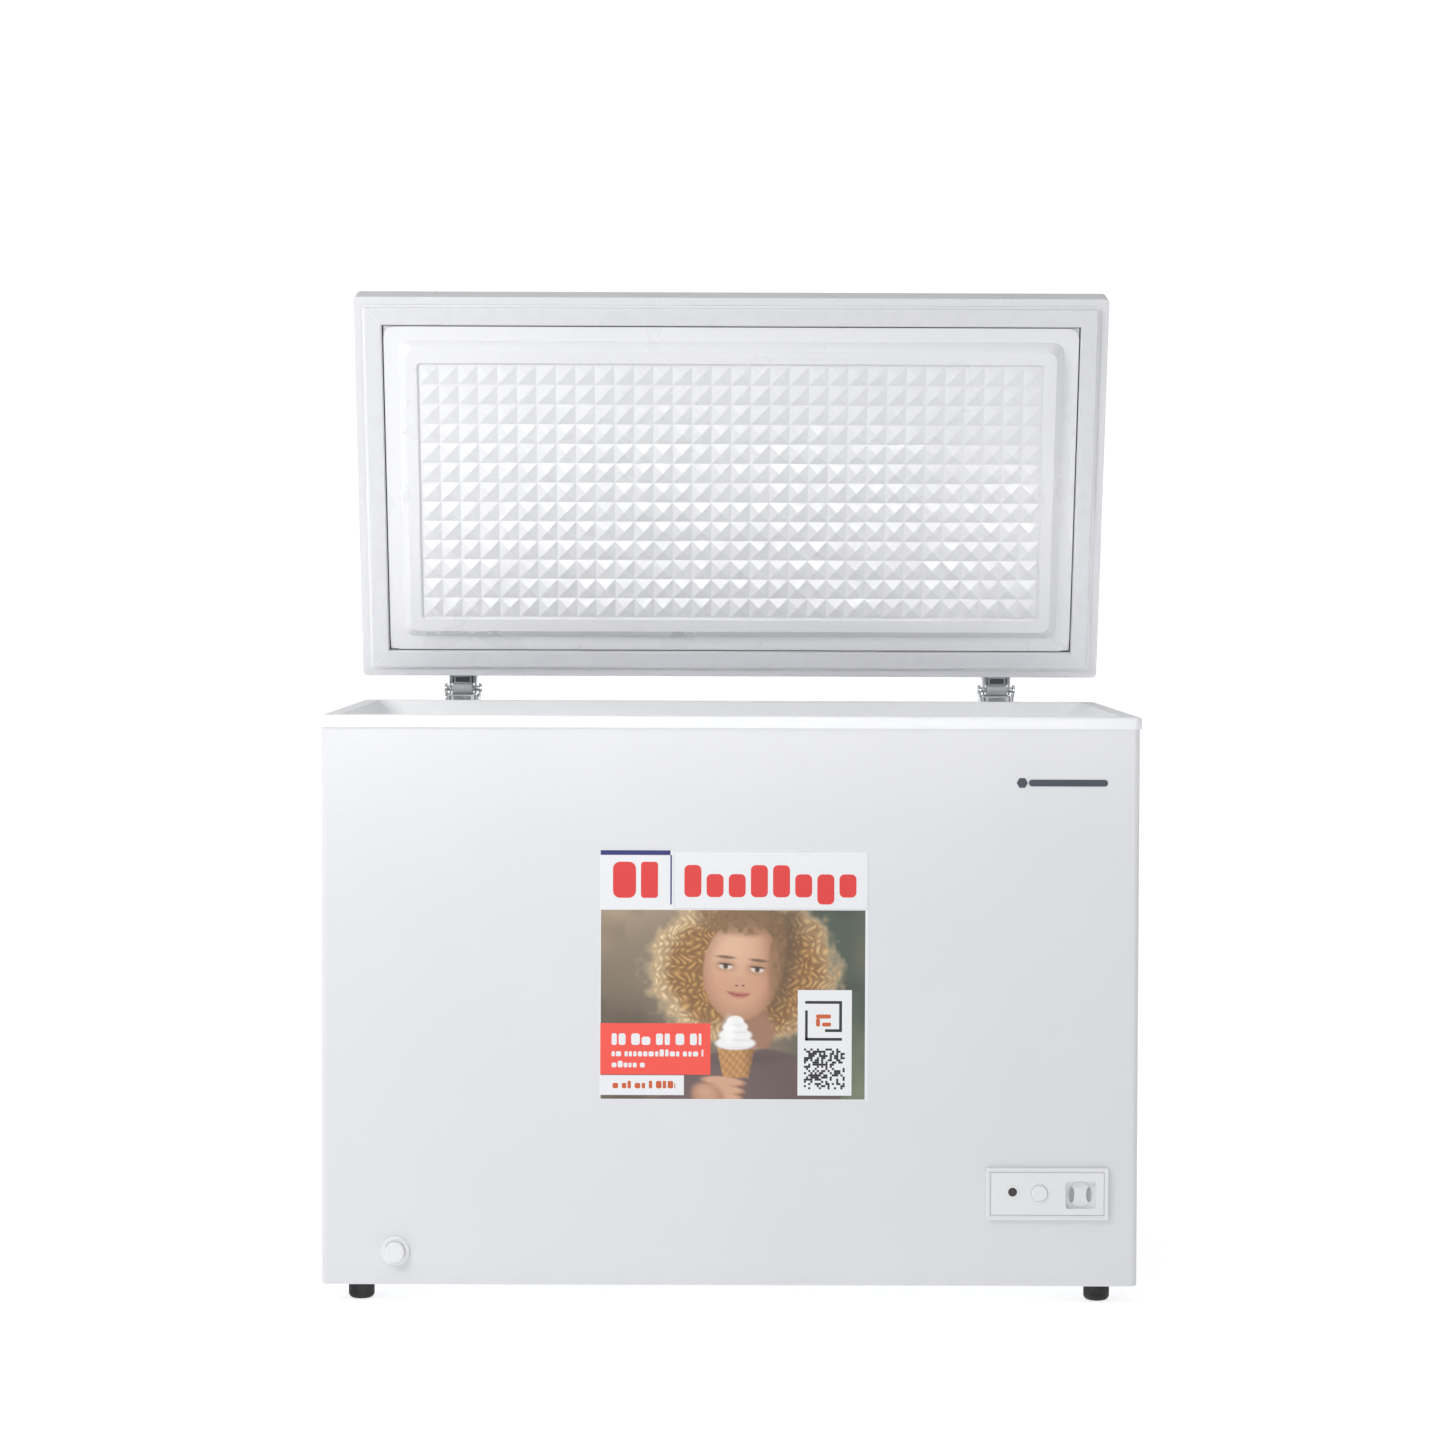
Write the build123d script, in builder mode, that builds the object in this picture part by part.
from build123d import *
import os
from math import cos, radians, sin

# Chest freezer, standing with its lid open against the stop.
# Millimetres. +X is the user's right, -Y the front, +Z up. The origin is on the floor, in the
# middle of the space that the open freezer takes up.

# ---------------------------------------------------------------- driving sizes
# Cabinet
rim_width = 1104.0           # over the top rim, left to right
rim_depth = 580.0            # over the top rim, front to back
body_height = 768.0          # underside of the body to the top of the rim
foot_height = 25.0
rim_overhang = 2.5           # the rim stands this far out from the sheet, all round
body_corner = 8.0            # upright corners of the outer sheet
body_edge = 3.0              # lower edge of the outer sheet
sheet = 0.8                  # painted steel
return_flange = 14.0         # sheet turned in at the back and underneath
wall = 58.0                  # outer sheet to the liner's outer face
floor_wall = 73.0            # underside of the body to the liner's outer floor

# Top rim
rim_band = 16.0              # height of its outer band
rim_skin = 2.3               # thickness of the band
rim_plate = 3.0              # thickness of its flat top
rim_flat = 25.0              # width of the flat top
rim_edge = 5.0               # rounding of its outer top edge
collar_drop = 30.0           # the sloping collar's height
neck_length = 12.0           # straight lip below the collar, inside the liner
neck_skin = 2.0
neck_clearance = 0.3         # neck to liner

# Liner and machine compartment
liner_sheet = 1.2
liner_corner = 24.0
liner_edge = 14.0
machine_width = 222.0        # inside, from the divider to the right-hand sheet
machine_height = 255.0       # body underside to the divider's top
step_wall = 45.0             # foam between divider and liner

# Lid
lid_overlap = 4.0            # the lid is this much wider than the rim
lid_setback = 2.0            # and this much less deep
lid_height = 52.0            # lip to the top of the skin
lid_gap = 8.0                # lip above the rim when shut
lid_corner = 6.0
lid_edge = 5.0
skin_sheet = 1.0
skin_lip = 11.0              # skin turned in underneath
open_angle = 75.3            # shut to the open stop

# Lid liner, as distances in from the lid's edge and depths below the lip
liner_skin = 1.5
border_inset = 43.0
border_drop = 4.0
bevel_inset = 64.0
bevel_run = 12.0
plateau_drop = 20.0
recess_inset_x = 92.0        # plateau's inner edge, at the sides
recess_inset_y = 94.0        # and at front and back
recess_run = 3.5
recess_depth = 4.0
plateau_corner = 16.0

# Gasket
gasket_inset = 15.5
gasket_width = 25.5
gasket_chamfer = 2.0
gasket_clearance = 0.4       # gasket to rim when shut
magnet_width = 10.0
magnet_height = 2.6
magnet_fit = 0.2
magnet_inset = 5.5           # from the gasket's outer edge

# Hinges
hinge_inset = 148.0          # from the rim's side to the hinge's middle
pivot_back = 21.0            # pin behind the rim
pivot_up = 17.0              # pin above the rim
pin_radius = 4.0
pin_fit = 0.05               # running fit of the cam on its pin
pin_head = 6.5
ear_radius = 7.5
bracket_sheet = 2.0
bracket_width = 52.0
bracket_length = 172.0       # below the rim's top
bracket_plate_width = 88.0
bracket_plate_top = 22.0     # below the rim's top
web_back = 36.0              # inner face of the bracket's web, behind the rim
arm_width = 40.0
arm_reach = 38.0             # arm's plate above the pin, lid shut
cam_width = 30.0
cam_base = 9.0               # pin to plunger, lid open
cam_rise = 9.0               # plunger travel per radian of lid
plunger_gap = 0.4            # cam to plunger
plunger_height = 14.0
plunger_depth = 20.0
spring_radius = 8.0
spring_wire = 2.4
spring_turns = 12

# Controls: the panel's middle from the rim's right side, its fittings from the panel's middle,
# and all heights from the body's underside
control_inset = 124.3
control_z = 126.2
bezel_width = 164.5
bezel_height = 69.5
bezel_proud = 5.0
bezel_frame = 3.2
housing_width = 148.0
housing_height = 54.0
housing_depth = 34.0
housing_skin = 2.0
lens_offset = -46.9
lens_z = 128.6
lens_radius = 6.0
lens_ring = 8.3
button_offset = -10.6
button_z = 127.1
button_radius = 11.0
button_proud = 3.6
button_travel = 2.5
control_fit = 0.3
knob_offset = 44.9
knob_z = 124.5
knob_pocket_width = 41.0
knob_pocket_height = 37.0
knob_pocket_depth = 7.0
knob_floor = 4.5             # thickness of the pocket's floor
knob_radius = 17.0
knob_disc = 3.4
knob_grip = 16.0             # between the two finger scoops
scoop_width = 7.2
scoop_height = 21.0
scoop_depth = 2.4
shaft_radius = 3.0
shaft_fit = 0.05

# Drain
drain_inset = 102.2          # from the rim's left side
drain_z = 45.8               # above the body's underside
escutcheon_radius = 19.5
escutcheon_proud = 4.0
cap_radius = 13.4
cap_proud = 12.0
drain_radius = 10.0
drain_bore = 8.0
drain_bend = 14.0
drain_back = 45.0            # drain hole behind the liner's front wall
plug_flange = 14.0

# Feet
foot_side_inset = 53.0       # foot centre in from the rim's side
foot_inset = 40.0            # foot centre in from the front and back sheets
foot_radius = 17.5
foot_round = 7.0
foot_sink = 6.5              # screw's counterbore
foot_bore = 3.2

# Sticker and badge
sticker_width = 360.5
sticker_height = 337.0
sticker_x = 5.0
sticker_z = 419.5            # middle, above the body's underside
sticker_sheet = 0.3
badge_inset = 107.0          # badge's middle from the rim's right side
badge_z = 679.5

# ---------------------------------------------------------------- places worked out from them
body_z = foot_height
rim_z = body_z + body_height
body_width = rim_width - 2 * rim_overhang
body_depth = rim_depth - 2 * rim_overhang
lid_width = rim_width + lid_overlap
lid_depth = rim_depth - lid_setback
hinge_spacing = rim_width - 2 * hinge_inset
control_x = rim_width / 2 - control_inset
lens_x = control_x + lens_offset
button_x = control_x + button_offset
knob_x = control_x + knob_offset
drain_x = drain_inset - rim_width / 2
foot_x = rim_width / 2 - foot_side_inset
badge_x = rim_width / 2 - badge_inset

lid_edge_gap = (rim_depth - lid_depth) / 2
lid_rise = lid_gap - pivot_up
lid_back = pivot_back + lid_edge_gap
turn = radians(open_angle)
rear_reach = pivot_back + (lid_rise + lid_height) * sin(turn) - lid_back * cos(turn)
front_reach = cap_proud - rim_overhang
centre_y = (front_reach - rear_reach) / 2

front_y = centre_y - rim_depth / 2
rear_y = centre_y + rim_depth / 2
sheet_front = front_y + rim_overhang
sheet_rear = rear_y - rim_overhang
back_panel_y = sheet_rear - sheet
pan_z = body_z + sheet
shell_top = rim_z - rim_plate - 0.2

liner_width = body_width - 2 * wall
liner_depth = body_depth - 2 * wall
liner_floor = body_z + floor_wall
collar_bottom = rim_z - collar_drop
liner_top = collar_bottom - rim_plate
neck_inset = rim_overhang + wall + liner_sheet + neck_clearance
throat_inset = neck_inset + neck_skin

machine_right = body_width / 2 - sheet
machine_left = machine_right - machine_width
machine_top = body_z + machine_height
step_x = machine_left - step_wall
step_z = machine_top + step_wall

pivot_y = rear_y + pivot_back
pivot_z = rim_z + pivot_up
spring_y = pivot_y - cam_rise

# The lid is drawn on the plane of its lip, which leans back with the lid.
hinge_plane = Plane(origin=(0, pivot_y, pivot_z), x_dir=(1, 0, 0), z_dir=(0, sin(turn), cos(turn)))
lid_middle = hinge_plane.from_local_coords(Vector(0, -lid_back - lid_depth / 2, lid_rise))
lip = Plane(origin=lid_middle, x_dir=(1, 0, 0), z_dir=hinge_plane.z_dir)
lid_up = Axis((0, 0, 0), tuple(hinge_plane.z_dir))

panel_face = sheet_front - bezel_proud

os.makedirs("parts", exist_ok=True)


# ---------------------------------------------------------------- shared shapes
def save(piece, name):
    """Label a finished piece and write it as its own STEP file."""
    piece.part.label = name
    export_step(piece.part, f"parts/{name}.step")


def level(z, x=0.0, y=centre_y):
    """A horizontal plane."""
    return Plane((x, y, z))


def facing_front(x, y, z):
    """An upright plane that faces the user, with its own Y up."""
    return Plane(origin=(x, y, z), x_dir=(1, 0, 0), z_dir=(0, -1, 0))


def facing_back(x, y, z):
    """An upright plane that faces away from the user, with its own Y up."""
    return Plane(origin=(x, y, z), x_dir=(-1, 0, 0), z_dir=(0, 1, 0))


def facing_right(x, y, z):
    """An upright plane that faces right: its own X runs back and its own Y up."""
    return Plane(origin=(x, y, z), x_dir=(0, 1, 0), z_dir=(1, 0, 0))


def slab(plane, width, depth, height, radius=0.0, mode=Mode.ADD):
    """A slab on a plane, with its upright corners rounded."""
    with BuildSketch(plane) as outline:
        if radius > 0:
            RectangleRounded(width, depth, radius)
        else:
            Rectangle(width, depth)
    extrude(outline.sketch, amount=height, mode=mode)


def block(x_span, y_span, z_span, mode=Mode.ADD):
    """A box between two X, two Y and two Z values."""
    middle = level(z_span[0], sum(x_span) / 2, sum(y_span) / 2)
    slab(middle, x_span[1] - x_span[0], y_span[1] - y_span[0], z_span[1] - z_span[0], mode=mode)


def peg(plane, radius, height, mode=Mode.ADD):
    """A round bar on a plane."""
    with BuildSketch(plane) as outline:
        Circle(radius)
    extrude(outline.sketch, amount=height, mode=mode)


def tapered(first_plane, first, second_plane, second, mode=Mode.ADD):
    """A loft between two rounded rectangles, each given as width, depth and corner radius."""
    with BuildSketch(first_plane) as start:
        RectangleRounded(*first)
    with BuildSketch(second_plane) as end:
        RectangleRounded(*second)
    loft([start.sketch, end.sketch], ruled=True, mode=mode)


def screw(plane, head, head_height, shank, length):
    """A pan-head screw: its head stands on the plane and its shank goes in below."""
    peg(plane, head, head_height)
    peg(plane, shank, -length)
    recess = plane.offset(head_height)
    slab(recess, head, head / 4, -head_height / 2, mode=Mode.SUBTRACT)
    slab(recess, head / 4, head, -head_height / 2, mode=Mode.SUBTRACT)


def tube(points, bend, radius, mode=Mode.ADD):
    """A round bar of straight runs and tangent bends through the points."""
    with BuildLine() as route:
        FilletPolyline(*points, radius=bend)
    start = Plane(origin=route.line @ 0, z_dir=route.line % 0)
    with BuildSketch(start) as section:
        Circle(radius)
    sweep(section.sketch, path=route.line, mode=mode)


# ---------------------------------------------------------------- shared fastener places
foot_places = [
    (side * foot_x, y)
    for side in (-1, 1)
    for y in (sheet_front + foot_inset, sheet_rear - foot_inset)
]
hinge_places = [("left", -hinge_spacing / 2), ("right", hinge_spacing / 2)]
bracket_holes = [
    (middle + side * (bracket_plate_width / 2 - 9), rim_z - drop)
    for _, middle in hinge_places
    for side in (-1, 1)
    for drop in (bracket_plate_top + 14, bracket_length - 14)
]
arm_hole_heights = (arm_reach - 9, arm_reach - 27)

cover_lap = 12.0
cover_sheet = 1.0
cover_border = return_flange + cover_lap + 5
service_x = (machine_left + 22, machine_right - cover_border)
service_z = (body_z + cover_border, machine_top - 24)
cover_x = sum(service_x) / 2
cover_z = sum(service_z) / 2
cover_width = service_x[1] - service_x[0] + 2 * cover_lap
cover_height = service_z[1] - service_z[0] + 2 * cover_lap

with BuildPart() as foot_screws:
    for x, y in foot_places:
        below = Plane(origin=(x, y, foot_sink), z_dir=(0, 0, -1))
        screw(below, 5.5, 3.0, foot_bore, foot_height - foot_sink + 6)
save(foot_screws, "foot_screws")

with BuildPart() as bracket_screws:
    for x, z in bracket_holes:
        screw(facing_back(x, back_panel_y + bracket_sheet, z), 5.0, 2.4, 2.1, 16)
save(bracket_screws, "bracket_screws")

with BuildPart() as arm_screws:
    for _, x in hinge_places:
        for height in arm_hole_heights:
            head_y = -lid_back + bracket_sheet
            seat = hinge_plane.from_local_coords(Vector(x, head_y, height))
            screw(Plane(origin=seat, x_dir=(1, 0, 0), z_dir=hinge_plane.y_dir), 4.8, 2.2, 2.1, 15)
save(arm_screws, "arm_screws")

with BuildPart() as service_cover_screws:
    for dx in (-1, 1):
        for dz in (-1, 1):
            x = cover_x + dx * (cover_width / 2 - 6)
            z = cover_z + dz * (cover_height / 2 - 6)
            screw(facing_back(x, back_panel_y + cover_sheet, z), 4.0, 2.0, 1.8, 10)
save(service_cover_screws, "service_cover_screws")

# ---------------------------------------------------------------- cabinet
# Front and sides are one wrapped sheet; back and underside are open inside a turned flange.
vent_y = centre_y + 60.0
vent_z = body_z + 122.0
vent_width = 190.0
vent_height = 150.0
vent_frame = 12.0
with BuildPart() as outer_shell:
    slab(level(body_z), body_width, body_depth, shell_top - body_z, body_corner)
    fillet(outer_shell.edges().group_by(Axis.Z)[0], body_edge)
    offset(amount=-sheet, openings=outer_shell.faces().sort_by(Axis.Z)[-1])
    inner_x = body_width / 2 - return_flange
    rear_opening = (body_z + return_flange, rim_z)
    block((-inner_x, inner_x), (sheet_rear - 2, sheet_rear + 1), rear_opening, Mode.SUBTRACT)
    block(
        (-inner_x, inner_x),
        (sheet_front + return_flange, sheet_rear - return_flange),
        (body_z - 1, body_z + 2 * sheet),
        Mode.SUBTRACT,
    )
    panel_cut = facing_front(control_x, sheet_front + 2, body_z + control_z)
    slab(panel_cut, housing_width + 1, housing_height + 1, 3, mode=Mode.SUBTRACT)
    peg(facing_front(drain_x, sheet_front + 2, body_z + drain_z), drain_radius + 0.5, 3, Mode.SUBTRACT)
    vent_cut = facing_right(body_width / 2 - 2, vent_y, vent_z)
    slab(vent_cut, vent_width - 2 * vent_frame, vent_height - 2 * vent_frame, 3, mode=Mode.SUBTRACT)
    for x, y in foot_places:
        peg(level(body_z - 1, x, y), foot_bore + 0.1, 3, Mode.SUBTRACT)
save(outer_shell, "outer_shell")

# The back panel lies inside the shell's flanges.
with BuildPart() as back_panel:
    half = body_width / 2 - sheet - 0.5
    block((-half, half), (back_panel_y - sheet, back_panel_y), (body_z + body_edge + 0.5, shell_top))
    for side in (-1, 1):
        outer = side * half
        inner = side * (half - body_corner)
        strip = (min(outer, inner), max(outer, inner))
        block(strip, (back_panel_y - sheet - 1, back_panel_y + 1), (pan_z, rim_z), Mode.SUBTRACT)
    block(service_x, (back_panel_y - 2, back_panel_y + 1), service_z, Mode.SUBTRACT)
    add(bracket_screws.part, mode=Mode.SUBTRACT)
    add(service_cover_screws.part, mode=Mode.SUBTRACT)
save(back_panel, "back_panel")

# The base pan closes the underside; it has slots under the machine compartment.
pan_sheet = 1.0
machine_middle = (machine_left + machine_right) / 2
compressor_y = centre_y + 120.0
bolt_spacing_x = 150.0
bolt_spacing_y = 110.0
bolt_radius = 3.5
with BuildPart() as base_pan:
    pan_inset = 2 * body_edge + 2 * sheet
    slab(level(pan_z), body_width - pan_inset, body_depth - pan_inset, pan_sheet, body_corner)
    with BuildSketch(level(pan_z, machine_middle, compressor_y)) as pan_cuts:
        with GridLocations(26, 140, 5, 1):
            SlotOverall(70, 7, rotation=90)
        with GridLocations(bolt_spacing_x, bolt_spacing_y, 2, 2):
            Circle(bolt_radius + 0.3)
    extrude(pan_cuts.sketch, amount=pan_sheet, mode=Mode.SUBTRACT)
    add(foot_screws.part, mode=Mode.SUBTRACT)
save(base_pan, "base_pan")
pan_top = pan_z + pan_sheet

# The divider keeps the foam out of the machine compartment.
inside_front = sheet_front + sheet
inside_rear = back_panel_y - sheet
inside_depth = inside_rear - inside_front
inside_middle = (inside_rear + inside_front) / 2
with BuildPart() as machine_divider:
    block((machine_left - sheet, machine_right), (inside_front, inside_rear), (pan_top, machine_top))
    machine_room = ((inside_front - 1, inside_rear + 1), (pan_top - 1, machine_top - sheet))
    block((machine_left, machine_right + 1), *machine_room, Mode.SUBTRACT)
    inside_corners = (inside_depth, machine_height, body_corner - sheet)
    slab(level(pan_top, 0, inside_middle), body_width - 2 * sheet, *inside_corners, Mode.INTERSECT)
    add(outer_shell.part, mode=Mode.SUBTRACT)
save(machine_divider, "machine_divider")


def make_tub(extra):
    """The liner's outside moved inwards by a thickness: a deep part and a shelf over the machines."""
    width = liner_width - 2 * extra
    depth = liner_depth - 2 * extra
    corner = liner_corner - extra
    deep_right = step_x - extra
    deep_width = deep_right + width / 2
    with BuildPart() as tub:
        deep = level(liner_floor + extra, deep_right - deep_width / 2)
        slab(deep, deep_width, depth, step_z - liner_floor, corner)
        fillet(tub.edges().group_by(Axis.Z)[0], liner_edge - extra)
        slab(level(step_z + extra), width, depth, liner_top - step_z - extra, corner)
    return tub.part


liner_outside = make_tub(0.0)
liner_inside = make_tub(liner_sheet)
drain_y = sheet_front + wall + drain_back
with BuildPart() as inner_liner:
    add(liner_outside)
    add(liner_inside, mode=Mode.SUBTRACT)
    peg(level(liner_floor - 1, drain_x, drain_y), drain_radius + 0.2, 4, Mode.SUBTRACT)
save(inner_liner, "inner_liner")


def throat(drop, flat, bottom, mode):
    """The cabinet's mouth: a sloping funnel and a straight neck, both this far below the rim."""
    wide = (rim_width - 2 * flat, rim_depth - 2 * flat, liner_corner)
    narrow = (rim_width - 2 * bottom, rim_depth - 2 * bottom, liner_corner - liner_sheet)
    fall = collar_drop * (bottom - flat) / (throat_inset - rim_flat)
    foot = rim_z - drop - fall
    tapered(level(rim_z - drop), wide, level(foot), narrow, mode)
    slab(level(foot), narrow[0], narrow[1], liner_top - neck_length - foot, narrow[2], mode)


with BuildPart() as top_rim:
    slab(level(rim_z - rim_band), rim_width, rim_depth, rim_band, body_corner + rim_overhang)
    fillet(top_rim.edges().group_by(Axis.Z)[-1], rim_edge)
    hollow_width = rim_width - 2 * rim_skin
    hollow_depth = rim_depth - 2 * rim_skin
    under_rim = level(rim_z - rim_band)
    slab(under_rim, hollow_width, hollow_depth, rim_band - rim_plate, body_corner, Mode.SUBTRACT)
    throat(rim_plate, rim_flat, neck_inset, Mode.ADD)
    throat(0.0, rim_flat, throat_inset, Mode.SUBTRACT)
    slab(level(liner_top - neck_length - 1), liner_width - 20, liner_depth - 20, 40, mode=Mode.SUBTRACT)
save(top_rim, "top_rim")

# Drain: a tube in the foam from the liner's floor to the front.
drain_level = body_z + drain_z
drain_route = [
    (drain_x, sheet_front + sheet + 1, drain_level),
    (drain_x, drain_y, drain_level),
    (drain_x, drain_y, liner_floor + liner_sheet),
]
with BuildPart() as drain_tube:
    tube(drain_route, drain_bend, drain_radius)
    tube(drain_route, drain_bend, drain_bore, Mode.SUBTRACT)
save(drain_tube, "drain_tube")

# Steel plates in the foam take the hinge screws.
plate_gap = 0.3
with BuildPart() as hinge_backing_plates:
    for _, x in hinge_places:
        block(
            (x - bracket_plate_width / 2, x + bracket_plate_width / 2),
            (inside_rear - 2 - plate_gap, inside_rear - plate_gap),
            (rim_z - bracket_length, rim_z - rim_band - 14),
        )
    add(bracket_screws.part, mode=Mode.SUBTRACT)
save(hinge_backing_plates, "hinge_backing_plates")

with BuildPart() as cabinet_foam:
    foam_base = level(pan_top, 0, inside_middle)
    slab(foam_base, body_width - 2 * sheet, inside_depth, shell_top - pan_top, body_corner - sheet)
    block((machine_left - sheet, rim_width), (front_y, rear_y), (body_z, machine_top), Mode.SUBTRACT)
    add(liner_outside, mode=Mode.SUBTRACT)
    throat(rim_plate, rim_flat, neck_inset, Mode.SUBTRACT)
    slab(level(liner_top - 1), liner_width, liner_depth, 8, liner_corner, Mode.SUBTRACT)
    tube(drain_route, drain_bend, drain_radius, Mode.SUBTRACT)
    peg(facing_front(drain_x, inside_front + 2, drain_level), drain_radius, 4, Mode.SUBTRACT)
    add(outer_shell.part, mode=Mode.SUBTRACT)
    add(base_pan.part, mode=Mode.SUBTRACT)
    add(hinge_backing_plates.part, mode=Mode.SUBTRACT)
    add(bracket_screws.part, mode=Mode.SUBTRACT)
    add(foot_screws.part, mode=Mode.SUBTRACT)
save(cabinet_foam, "cabinet_foam")

# ---------------------------------------------------------------- refrigeration
pipe = 4.0
pipe_bend = liner_corner + pipe + 0.2


def loops_round_liner(gap, low, high, count):
    """Points of a pipe that climbs round the liner, one turn per loop."""
    x = liner_width / 2 + gap
    y = liner_depth / 2 + gap
    points = []
    for turn_number in range(count):
        z = low + (high - low) * turn_number / (count - 1)
        points += [(-x, centre_y + y, z), (-x, centre_y - y, z)]
        points += [(x, centre_y - y, z), (x, centre_y + y, z)]
    return points


def zigzag_on_walls(gap, low, high, count):
    """Points of a pipe that runs to and fro round the left, front and right sheets."""
    x = body_width / 2 - sheet - gap
    front = sheet_front + sheet + gap
    back = sheet_rear - 60.0
    points = []
    for run in range(count):
        z = low + (high - low) * run / (count - 1)
        corners = [(-x, back, z), (-x, front, z), (x, front, z), (x, back, z)]
        points += corners if run % 2 == 0 else corners[::-1]
    return points


with BuildPart() as evaporator_tube:
    tube(loops_round_liner(pipe + 0.2, step_z + 40, liner_top - 60, 5), pipe_bend, pipe)
save(evaporator_tube, "evaporator_tube")

with BuildPart() as condenser_tube:
    tube(zigzag_on_walls(pipe + 0.3, machine_top + 60, rim_z - 90, 6), 22.0, 2.5)
save(condenser_tube, "condenser_tube")

compressor_width = 150.0
compressor_depth = 118.0
compressor_corner = 56.0
lower_height = 95.0
upper_height = 62.0
can_sheet = 3.0
grommet_height = 16.0
feet_sheet = 3.0
feet_z = pan_top + grommet_height
can_z = feet_z + feet_sheet
seam_z = can_z + lower_height


def can(width, depth, plane, height, corner, edge):
    """One half of the compressor's welded can, open at its seam."""
    slab(plane, width, depth, height, corner)
    far = sorted(faces().filter_by(Axis.Z), key=lambda face: abs(face.center().Z - plane.origin.Z))
    fillet(far[-1].edges(), edge)
    offset(amount=-can_sheet, openings=far[0])


with BuildPart() as compressor_lower_shell:
    downwards = Plane(origin=(machine_middle, compressor_y, seam_z), z_dir=(0, 0, -1))
    can(compressor_width, compressor_depth, downwards, lower_height, compressor_corner, 24.0)
    feet_plane = level(feet_z, machine_middle, compressor_y)
    slab(feet_plane, bolt_spacing_x + 36, bolt_spacing_y + 36, feet_sheet, 14)
    with BuildSketch(feet_plane) as feet_holes:
        with GridLocations(bolt_spacing_x, bolt_spacing_y, 2, 2):
            Circle(bolt_radius + 0.3)
    extrude(feet_holes.sketch, amount=feet_sheet, mode=Mode.SUBTRACT)
save(compressor_lower_shell, "compressor_lower_shell")

with BuildPart() as compressor_upper_shell:
    upwards = level(seam_z, machine_middle, compressor_y)
    can(compressor_width, compressor_depth, upwards, upper_height, compressor_corner, 30.0)
save(compressor_upper_shell, "compressor_upper_shell")

with BuildPart() as compressor_pump:
    pump_base = level(can_z + can_sheet + 12, machine_middle, compressor_y)
    slab(pump_base, 96, 84, 44, 30)
    peg(pump_base.offset(44), 30, 34)
    slab(pump_base.offset(78), 80, 36, 26, 10)
save(compressor_pump, "compressor_pump")

with BuildPart() as compressor_grommets:
    with BuildSketch(level(pan_top, machine_middle, compressor_y)) as rings:
        with GridLocations(bolt_spacing_x, bolt_spacing_y, 2, 2):
            Circle(11)
            Circle(bolt_radius + 0.3, mode=Mode.SUBTRACT)
    extrude(rings.sketch, amount=grommet_height)
save(compressor_grommets, "compressor_grommets")

with BuildPart() as compressor_bolts:
    bolt_length = grommet_height + feet_sheet + pan_sheet
    with BuildSketch(level(pan_z, machine_middle, compressor_y)) as shanks:
        with GridLocations(bolt_spacing_x, bolt_spacing_y, 2, 2):
            Circle(bolt_radius)
    extrude(shanks.sketch, amount=bolt_length)
    with BuildSketch(level(feet_z + feet_sheet, machine_middle, compressor_y)) as heads:
        with GridLocations(bolt_spacing_x, bolt_spacing_y, 2, 2):
            RegularPolygon(6.5, 6)
    extrude(heads.sketch, amount=5)
save(compressor_bolts, "compressor_bolts")

can_front = compressor_y - compressor_depth / 2
with BuildPart() as relay_cover:
    relay_plane = facing_front(machine_middle, can_front - 0.2, can_z + 52)
    slab(relay_plane, 46, 54, 30, 5)
    fillet(relay_cover.faces().sort_by(Axis.Y)[0].edges(), 4)
save(relay_cover, "relay_cover")

drier_x = machine_left + 34.0
drier_z = machine_top - 70.0
with BuildPart() as filter_drier:
    with BuildSketch(facing_right(drier_x, compressor_y, drier_z)) as drier_outline:
        with BuildLine():
            Polyline((-70, 0), (-70, 3), (-52, 10), (52, 10), (70, 3), (70, 0), close=True)
        make_face()
    revolve(drier_outline.sketch, Axis((drier_x, compressor_y, drier_z), (0, 1, 0)))
save(filter_drier, "filter_drier")

pipe_gap = 0.2
with BuildPart() as discharge_tube:
    outlet = can_front - pipe_gap
    run = [
        (machine_middle + 34, outlet, can_z + 60),
        (machine_middle + 34, outlet - 40, can_z + 60),
        (machine_middle + 34, outlet - 40, machine_top - 40),
        (machine_left + 6, outlet - 40, machine_top - 40),
    ]
    tube(run, 12, 3)
save(discharge_tube, "discharge_tube")

with BuildPart() as suction_tube:
    run = [
        (machine_middle - 36, outlet, can_z + 70),
        (machine_middle - 36, outlet - 26, can_z + 70),
        (machine_middle - 36, outlet - 26, machine_top - 56),
        (machine_left + 6, outlet - 26, machine_top - 56),
    ]
    tube(run, 11, 4)
save(suction_tube, "suction_tube")

with BuildPart() as capillary_tube:
    start_y = compressor_y - 70 - pipe_gap
    run = [
        (drier_x, start_y, drier_z),
        (drier_x, start_y - 30, drier_z),
        (drier_x, start_y - 30, drier_z - 60),
        (machine_left + 3, start_y - 30, drier_z - 60),
    ]
    tube(run, 10, 1.2)
save(capillary_tube, "capillary_tube")

# ---------------------------------------------------------------- machine covers
with BuildPart() as side_vent_grille:
    flange_plane = facing_right(body_width / 2, vent_y, vent_z)
    slab(flange_plane, vent_width, vent_height, 2.0, 6)
    fillet(side_vent_grille.faces().sort_by(Axis.X)[-1].edges(), 1.2)
    slab(flange_plane, vent_width - 2 * vent_frame - 1, vent_height - 2 * vent_frame - 1, -4.0)
    with BuildSketch(flange_plane.offset(2.0)) as louvres:
        with GridLocations(0, 11.5, 1, 10):
            SlotOverall(vent_width - 2 * vent_frame - 16, 6)
    extrude(louvres.sketch, amount=-8, mode=Mode.SUBTRACT)
save(side_vent_grille, "side_vent_grille")

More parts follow.
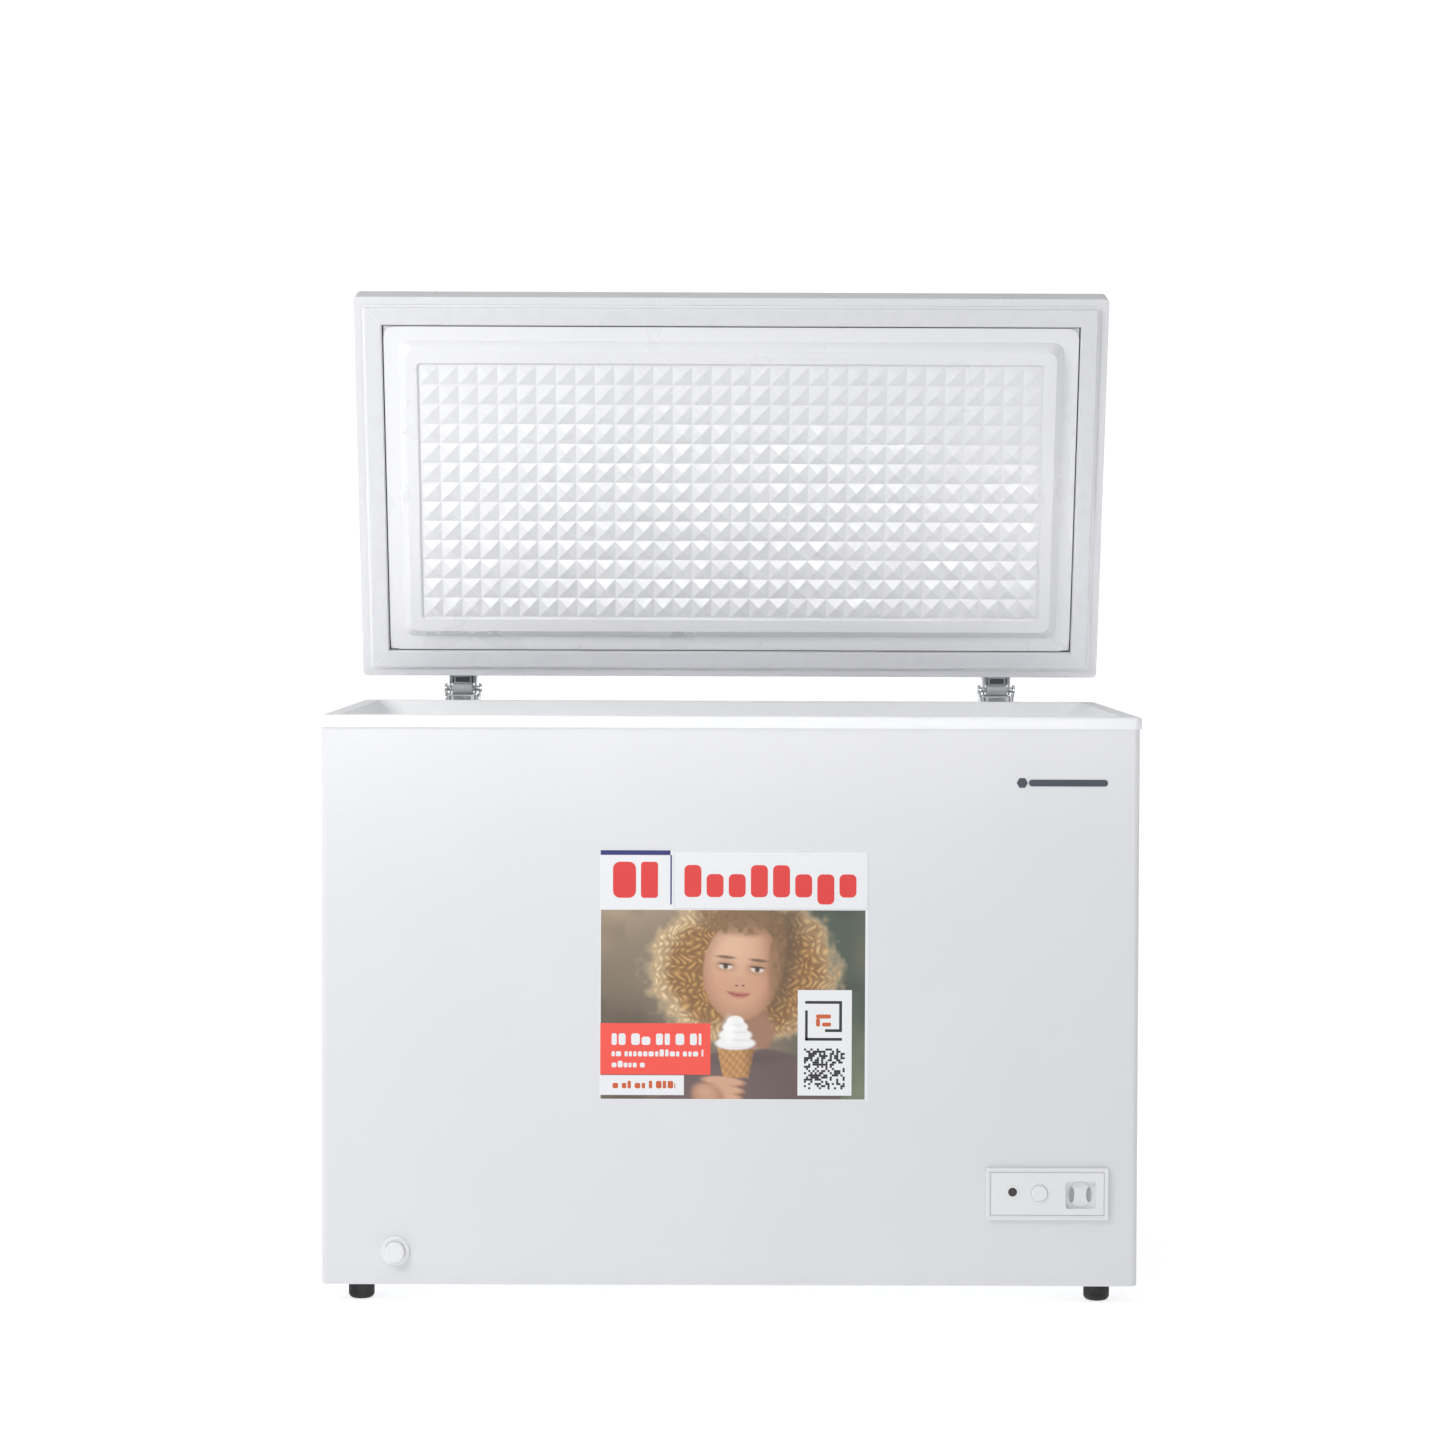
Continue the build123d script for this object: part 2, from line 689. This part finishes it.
gland_x = -cover_width / 2 + 34.0
gland_z = -cover_height / 2 + 30.0
with BuildPart() as rear_service_cover:
    cover_plane = facing_back(cover_x, back_panel_y, cover_z)
    slab(cover_plane, cover_width, cover_height, cover_sheet, 4)
    with BuildSketch(cover_plane) as cover_cuts:
        with Locations((0, 34)):
            with GridLocations(0, 13, 1, 9):
                SlotOverall(cover_width - 60, 6)
        with Locations((gland_x, gland_z)):
            Circle(9)
    extrude(cover_cuts.sketch, amount=cover_sheet, mode=Mode.SUBTRACT)
    add(service_cover_screws.part, mode=Mode.SUBTRACT)
save(rear_service_cover, "rear_service_cover")

with BuildPart() as cord_gland:
    gland_plane = cover_plane.offset(cover_sheet)
    with BuildSketch(gland_plane) as gland_rings:
        with Locations((gland_x, gland_z)):
            Circle(13)
    extrude(gland_rings.sketch, amount=4)
    fillet(cord_gland.faces().sort_by(Axis.Y)[-1].edges(), 2)
    with BuildSketch(gland_plane) as gland_neck:
        with Locations((gland_x, gland_z)):
            Circle(9)
    extrude(gland_neck.sketch, amount=-cover_sheet)
    with BuildSketch(gland_plane.offset(6)) as gland_hole:
        with Locations((gland_x, gland_z)):
            Circle(4.2)
    extrude(gland_hole.sketch, amount=-12, mode=Mode.SUBTRACT)
save(cord_gland, "cord_gland")

# ---------------------------------------------------------------- controls
lens_z_here = body_z + lens_z
button_z_here = body_z + button_z
knob_z_here = body_z + knob_z
pocket_floor = panel_face + knob_pocket_depth
with BuildPart() as control_bezel:
    face_plane = facing_front(control_x, sheet_front, body_z + control_z)
    slab(face_plane, bezel_width, bezel_height, bezel_proud, 2.5)
    fillet(control_bezel.faces().sort_by(Axis.Y)[0].edges(), 1.0)
    field = face_plane.offset(bezel_proud)
    slab(field, bezel_width - 2 * bezel_frame, bezel_height - 2 * bezel_frame, -1.0, 1.0, Mode.SUBTRACT)
    slab(face_plane, housing_width, housing_height, -housing_depth)
    inner_width = housing_width - 2 * housing_skin
    inner_height = housing_height - 2 * housing_skin
    back_of_plate = face_plane.offset(bezel_proud - 1.0 - housing_skin)
    slab(back_of_plate, inner_width, inner_height, -housing_depth - 4, mode=Mode.SUBTRACT)
    # the pocket that the knob turns in, with its floor and walls
    pocket = facing_front(knob_x, panel_face + 1.0, knob_z_here)
    pocket_block = knob_pocket_depth - 1.0 + knob_floor
    slab(pocket, knob_pocket_width + 4, knob_pocket_height + 4, -pocket_block, 7)
    slab(pocket, knob_pocket_width, knob_pocket_height, -knob_pocket_depth + 1.0, 5, Mode.SUBTRACT)
    knob_seat = -knob_pocket_depth + 1.0 - knob_disc - control_fit
    peg(pocket, knob_radius + control_fit, knob_seat, Mode.SUBTRACT)
    peg(pocket, shaft_radius + shaft_fit, -16, Mode.SUBTRACT)
    # ring and hole of the lamp, hole of the button
    lamp_plane = facing_front(lens_x, panel_face + 1.0, lens_z_here)
    peg(lamp_plane, lens_ring, 0.8)
    peg(lamp_plane.offset(1), lens_radius, -10, Mode.SUBTRACT)
    button_plane = facing_front(button_x, panel_face + 1.0, button_z_here)
    peg(button_plane.offset(1), button_radius + control_fit, -10, Mode.SUBTRACT)
save(control_bezel, "control_bezel")

with BuildPart() as indicator_lens:
    peg(facing_front(lens_x, panel_face + 6.0, lens_z_here), lens_radius, 6.0)
    fillet(indicator_lens.faces().sort_by(Axis.Y)[0].edges(), 1.6)
save(indicator_lens, "indicator_lens")

with BuildPart() as indicator_lamp:
    peg(facing_front(lens_x, panel_face + 26.0, lens_z_here), 4.0, 19.5)
save(indicator_lamp, "indicator_lamp")

with BuildPart() as fast_freeze_button:
    button_back = facing_front(button_x, panel_face + 8.0, button_z_here)
    peg(button_back, button_radius, 7.0 + button_proud - 1.0)
    fillet(fast_freeze_button.faces().sort_by(Axis.Y)[0].edges(), 2.4)
save(fast_freeze_button, "fast_freeze_button")

with BuildPart() as button_switch:
    switch_front = panel_face + 8.0 + button_travel + 0.4
    slab(facing_front(button_x, switch_front + 16, button_z_here), 20, 24, 16, 2)
save(button_switch, "button_switch")

with BuildPart() as thermostat_knob:
    knob_face = facing_front(knob_x, pocket_floor, knob_z_here)
    peg(knob_face, knob_radius, -knob_disc)
    with BuildSketch(knob_face) as scoops:
        for side in (-1, 1):
            with Locations((side * (knob_grip + scoop_width) / 2, 0)):
                Ellipse(scoop_width / 2, scoop_height / 2)
    extrude(scoops.sketch, amount=-scoop_depth, mode=Mode.SUBTRACT)
    peg(knob_face, shaft_radius, -knob_floor - 5)
save(thermostat_knob, "thermostat_knob")

with BuildPart() as thermostat_body:
    body_front = pocket_floor + knob_floor + 0.2
    slab(facing_front(knob_x, body_front + 22, knob_z_here), 36, 40, 22, 3)
    peg(facing_front(knob_x, body_front + 30, knob_z_here), shaft_radius + 0.3, 40, Mode.SUBTRACT)
save(thermostat_body, "thermostat_body")

# ---------------------------------------------------------------- drain fittings
drain_front = facing_front(drain_x, sheet_front, drain_level)
with BuildPart() as drain_escutcheon:
    peg(drain_front, escutcheon_radius, escutcheon_proud)
    fillet(drain_escutcheon.faces().sort_by(Axis.Y)[0].edges(), 2.2)
    peg(drain_front, drain_radius, -sheet - 0.8)
    peg(drain_front.offset(escutcheon_proud), cap_radius + control_fit, -2.0, Mode.SUBTRACT)
    peg(drain_front.offset(escutcheon_proud), drain_bore, -20, Mode.SUBTRACT)
save(drain_escutcheon, "drain_escutcheon")

with BuildPart() as drain_cap:
    cap_seat = drain_front.offset(escutcheon_proud - 2.0 + 0.3)
    peg(cap_seat, cap_radius, cap_proud - escutcheon_proud + 2.0 - 0.3)
    fillet(drain_cap.faces().sort_by(Axis.Y)[0].edges(), 2.5)
    peg(cap_seat, drain_bore - control_fit, -16)
save(drain_cap, "drain_cap")

with BuildPart() as drain_plug:
    plug_seat = level(liner_floor + liner_sheet + 0.3, drain_x, drain_y)
    peg(plug_seat, plug_flange, 4)
    fillet(drain_plug.edges().group_by(Axis.Z)[-1], 1.5)
    peg(plug_seat, drain_bore - control_fit, -12)
    peg(plug_seat.offset(4), 4, 10)
save(drain_plug, "drain_plug")

# ---------------------------------------------------------------- feet
with BuildPart() as rubber_feet:
    for x, y in foot_places:
        peg(level(0, x, y), foot_radius, foot_height)
    fillet(rubber_feet.edges().group_by(Axis.Z)[0], foot_round)
    for x, y in foot_places:
        peg(level(0, x, y), 7.0, foot_sink, Mode.SUBTRACT)
        peg(level(0, x, y), foot_bore, foot_height, Mode.SUBTRACT)
save(rubber_feet, "rubber_feet")

# ---------------------------------------------------------------- sticker and badge
with BuildPart() as front_sticker:
    sticker_plane = facing_front(sticker_x, sheet_front, body_z + sticker_z)
    slab(sticker_plane, sticker_width, sticker_height, sticker_sheet)
save(front_sticker, "front_sticker")

with BuildPart() as name_badge:
    badge_plane = facing_front(badge_x, sheet_front, body_z + badge_z)
    with BuildSketch(badge_plane) as badge_outline:
        with Locations((-54, 0)):
            RegularPolygon(7.5, 6)
        with Locations((8, 0)):
            RectangleRounded(106, 9, 4)
    extrude(badge_outline.sketch, amount=0.6)
save(name_badge, "name_badge")

# ---------------------------------------------------------------- lid
def inset_size(inset, corner):
    """Width, depth and corner of an outline this far in from the lid's edge."""
    return (lid_width - 2 * inset, lid_depth - 2 * inset, corner)


def lid_back_cavity(mode):
    """The hollow side of the lid's liner, which the foam fills."""
    t = liner_skin
    step = inset_size(border_inset + t, plateau_corner)
    slab(lip.offset(t), step[0], step[1], -border_drop, step[2], mode)
    top = inset_size(bevel_inset + t, plateau_corner)
    low = inset_size(bevel_inset + bevel_run + t, plateau_corner - 2)
    tapered(lip.offset(t - border_drop), top, lip.offset(t - plateau_drop), low, mode)


def recess_block(extra_inset, low, high, mode):
    """The raised floor behind the recessed middle of the liner."""
    width = lid_width - 2 * (recess_inset_x - extra_inset)
    depth = lid_depth - 2 * (recess_inset_y - extra_inset)
    slab(lip.offset(low), width, depth, high - low, 6, mode)


with BuildPart() as lid_skin:
    slab(lip, lid_width, lid_depth, lid_height, lid_corner)
    fillet(lid_skin.edges().group_by(lid_up)[-1], lid_edge)
    fillet(lid_skin.edges().group_by(lid_up)[0], 1.6)
    core = inset_size(skin_sheet, lid_corner - skin_sheet)
    core_height = lid_height - skin_sheet - lid_edge
    slab(lip.offset(skin_sheet), core[0], core[1], core_height, core[2], Mode.SUBTRACT)
    crown = inset_size(lid_edge, lid_corner - lid_edge)
    crown_base = lip.offset(lid_height - lid_edge)
    slab(crown_base, crown[0], crown[1], lid_edge - skin_sheet, crown[2], Mode.SUBTRACT)
    mouth = inset_size(skin_lip, 4)
    slab(lip.offset(-1), mouth[0], mouth[1], 3, mouth[2], Mode.SUBTRACT)
    add(arm_screws.part, mode=Mode.SUBTRACT)
save(lid_skin, "lid_skin")

with BuildPart() as lid_liner:
    flange = inset_size(skin_lip + 0.3, 4)
    slab(lip, flange[0], flange[1], liner_skin, flange[2])
    step = inset_size(border_inset, plateau_corner)
    slab(lip, step[0], step[1], -border_drop, step[2])
    top = inset_size(bevel_inset, plateau_corner)
    low = inset_size(bevel_inset + bevel_run, plateau_corner - 2)
    tapered(lip.offset(-border_drop), top, lip.offset(-plateau_drop), low)
    lid_back_cavity(Mode.SUBTRACT)
    recess_top = recess_depth - plateau_drop + liner_skin
    recess_block(liner_skin, liner_skin - plateau_drop, recess_top, Mode.ADD)
    rim_of_recess = (lid_width - 2 * recess_inset_x, lid_depth - 2 * recess_inset_y, 6)
    floor_of_recess = (rim_of_recess[0] - 2 * recess_run, rim_of_recess[1] - 2 * recess_run, 3)
    recess_plane = lip.offset(-plateau_drop)
    tapered(recess_plane, rim_of_recess, recess_plane.offset(recess_depth), floor_of_recess, Mode.SUBTRACT)
save(lid_liner, "lid_liner")

with BuildPart() as lid_backing_plates:
    for _, x in hinge_places:
        plate_back = -lid_back - skin_sheet - plate_gap
        middle = hinge_plane.from_local_coords(Vector(x, plate_back, arm_reach / 2))
        backing = Plane(origin=middle, x_dir=(1, 0, 0), z_dir=hinge_plane.y_dir)
        slab(backing, 60, arm_reach - 10, -2)
    add(arm_screws.part, mode=Mode.SUBTRACT)
save(lid_backing_plates, "lid_backing_plates")

with BuildPart() as lid_foam:
    core = inset_size(skin_sheet, lid_corner - skin_sheet)
    slab(lip.offset(liner_skin), core[0], core[1], lid_height - liner_skin - lid_edge, core[2])
    crown = inset_size(lid_edge, lid_corner - lid_edge)
    slab(crown_base, crown[0], crown[1], lid_edge - skin_sheet, crown[2])
    lid_back_cavity(Mode.ADD)
    recess_block(liner_skin, liner_skin - plateau_drop, recess_top, Mode.SUBTRACT)
    add(lid_backing_plates.part, mode=Mode.SUBTRACT)
    add(arm_screws.part, mode=Mode.SUBTRACT)
save(lid_foam, "lid_foam")


def gasket_ring(inset, width, low, height, mode=Mode.ADD):
    """A rectangular ring under the lid."""
    outer = inset_size(inset, 0)
    inner = inset_size(inset + width, 0)
    with BuildSketch(lip.offset(low)) as ring:
        Rectangle(outer[0], outer[1])
        Rectangle(inner[0], inner[1], mode=Mode.SUBTRACT)
    extrude(ring.sketch, amount=height, mode=mode)


gasket_height = lid_gap - gasket_clearance
with BuildPart() as lid_gasket:
    gasket_ring(gasket_inset, gasket_width, 0, -gasket_height)
    chamfer(lid_gasket.edges().group_by(lid_up)[0], gasket_chamfer)
    groove_inset = gasket_inset + magnet_inset - magnet_fit
    groove_width = magnet_width + 2 * magnet_fit
    gasket_ring(groove_inset, groove_width, 0, -magnet_height - 2 * magnet_fit, Mode.SUBTRACT)
save(lid_gasket, "lid_gasket")

# Four magnet strips lie in the gasket's groove.
strip_inset = gasket_inset + magnet_inset
strip_x = lid_width / 2 - strip_inset - magnet_width / 2
strip_y = lid_depth / 2 - strip_inset - magnet_width / 2
with BuildPart() as gasket_magnets:
    for side in (-1, 1):
        middle = lip.from_local_coords(Vector(0, side * strip_y, -magnet_fit))
        along_x = Plane(origin=middle, x_dir=(1, 0, 0), z_dir=lip.z_dir)
        slab(along_x, 2 * strip_x - 16, magnet_width, -magnet_height)
        middle = lip.from_local_coords(Vector(side * strip_x, 0, -magnet_fit))
        along_y = Plane(origin=middle, x_dir=(1, 0, 0), z_dir=lip.z_dir)
        slab(along_y, magnet_width, 2 * strip_y - 16, -magnet_height)
save(gasket_magnets, "gasket_magnets")

# ---------------------------------------------------------------- hinges
plate_y = back_panel_y
channel_y = rear_y + 1.0
half_in = bracket_width / 2 - bracket_sheet
plunger_top = pivot_z - cam_base - plunger_gap
plunger_low = plunger_top - plunger_height


def hinge_profile(x, points):
    """A closed outline in the hinge's side view, in distances back from and above the pin."""
    with BuildSketch(facing_right(x, pivot_y, pivot_z)) as outline:
        with BuildLine():
            Polyline(*points, close=True)
        make_face()
    return outline.sketch


def make_bracket(name, x):
    """The channel on the cabinet's back: it guides the spring and ends in two ears."""
    front = channel_y - pivot_y
    plate = plate_y + bracket_sheet - pivot_y
    web = rear_y + web_back + bracket_sheet - pivot_y
    bottom = -pivot_up - bracket_length
    under_rim = -pivot_up - bracket_plate_top
    cheek = [
        (plate, bottom), (web, bottom), (web, -ear_radius), (ear_radius, 0), (-ear_radius, 0),
        (front, -ear_radius - 4), (front, under_rim), (plate, under_rim),
    ]
    with BuildPart() as bracket:
        for side in (-1, 1):
            outer = x + side * bracket_width / 2
            start = min(outer, outer - side * bracket_sheet)
            extrude(hinge_profile(start, cheek), amount=bracket_sheet)
            peg(facing_right(start, pivot_y, pivot_z), ear_radius, bracket_sheet)
        inside = (x - half_in, x + half_in)
        back = rear_y + web_back
        block(inside, (back, back + bracket_sheet), (rim_z - bracket_length, pivot_z - ear_radius))
        low = rim_z - bracket_length
        block(inside, (plate_y + bracket_sheet, back), (low, low + bracket_sheet))
        plate_half = bracket_plate_width / 2
        plate_span = (x - plate_half, x + plate_half)
        block(plate_span, (plate_y, plate_y + bracket_sheet), (low, rim_z - bracket_plate_top))
        peg(facing_right(x - bracket_width, pivot_y, pivot_z), pin_radius, 2 * bracket_width, Mode.SUBTRACT)
        add(bracket_screws.part, mode=Mode.SUBTRACT)
    save(bracket, f"hinge_bracket_{name}")


def make_arm(name, x):
    """The channel on the lid: a plate on the lid's rear face with two cheeks down to the pin."""
    low = lid_rise + 2
    cheek = [
        (-lid_back, low), (-lid_back + 3, low), (ear_radius * 0.2, -ear_radius * 0.98),
        (ear_radius * 0.98, ear_radius * 0.2), (-lid_back + 12, arm_reach), (-lid_back, arm_reach),
    ]
    side_plane = Plane(origin=hinge_plane.origin, x_dir=hinge_plane.y_dir, z_dir=(1, 0, 0))
    with BuildPart() as arm:
        for side in (-1, 1):
            outer = x + side * arm_width / 2
            start = min(outer, outer - side * bracket_sheet)
            with BuildSketch(side_plane.offset(start)) as outline:
                with BuildLine():
                    Polyline(*cheek, close=True)
                make_face()
                Circle(ear_radius)
            extrude(outline.sketch, amount=bracket_sheet)
        plate_middle = hinge_plane.from_local_coords(Vector(x, -lid_back, (low + arm_reach) / 2))
        plate = Plane(origin=plate_middle, x_dir=(1, 0, 0), z_dir=hinge_plane.y_dir)
        slab(plate, arm_width - 2 * bracket_sheet, arm_reach - low, bracket_sheet)
        pin_hole = facing_right(x - bracket_width, pivot_y, pivot_z)
        peg(pin_hole, pin_radius + pin_fit, 2 * bracket_width, Mode.SUBTRACT)
        add(arm_screws.part, mode=Mode.SUBTRACT)
    save(arm, f"hinge_arm_{name}")


def make_cam(name, x):
    """The cam in the arm: its edge pushes the plunger down evenly as the lid shuts."""
    edge_points = []
    for step_number in range(9):
        angle = turn * step_number / 8
        reach = cam_base + cam_rise * angle
        edge_points.append((
            -reach * sin(angle) - cam_rise * cos(angle),
            -reach * cos(angle) + cam_rise * sin(angle),
        ))
    with BuildPart() as cam:
        with BuildSketch(facing_right(x - cam_width / 2, pivot_y, pivot_z)) as outline:
            with BuildLine():
                Spline(*edge_points)
                Polyline(edge_points[-1], (0, ear_radius), (0, -ear_radius), edge_points[0])
            make_face()
            Circle(ear_radius)
            Circle(pin_radius + pin_fit, mode=Mode.SUBTRACT)
        extrude(outline.sketch, amount=cam_width)
    save(cam, f"hinge_cam_{name}")


def make_pin(name, x):
    """The hinge pin, riveted over at both ends."""
    with BuildPart() as pin:
        half = bracket_width / 2
        peg(facing_right(x - half, pivot_y, pivot_z), pin_radius, 2 * half)
        peg(facing_right(x + half, pivot_y, pivot_z), pin_head, 2)
        peg(facing_right(x - half - 2, pivot_y, pivot_z), pin_head, 2)
    save(pin, f"hinge_pin_{name}")


def make_plunger(name, x):
    """The plastic block that carries the cam's push to the spring."""
    with BuildPart() as plunger:
        guided = 2 * half_in - 2 * control_fit
        slab(level(plunger_low, x, spring_y), guided, plunger_depth, plunger_height, 2)
        peg(level(plunger_low, x, spring_y), spring_radius - spring_wire, -8)
    save(plunger, f"hinge_plunger_{name}")


def make_spring(name, x):
    """The compression spring between the bracket's floor and the plunger."""
    low = rim_z - bracket_length + bracket_sheet + spring_wire / 2 + 0.2
    high = plunger_low - spring_wire / 2 - 0.2
    with BuildPart() as spring:
        with BuildLine() as coil:
            Helix((high - low) / spring_turns, high - low, spring_radius, center=(x, spring_y, low))
        with BuildSketch(Plane(origin=coil.line @ 0, z_dir=coil.line % 0)) as wire:
            Circle(spring_wire / 2)
        sweep(wire.sketch, path=coil.line, is_frenet=True)
    save(spring, f"hinge_spring_{name}")


for hinge_name, hinge_x in hinge_places:
    make_bracket(hinge_name, hinge_x)
    make_arm(hinge_name, hinge_x)
    make_cam(hinge_name, hinge_x)
    make_pin(hinge_name, hinge_x)
    make_plunger(hinge_name, hinge_x)
    make_spring(hinge_name, hinge_x)
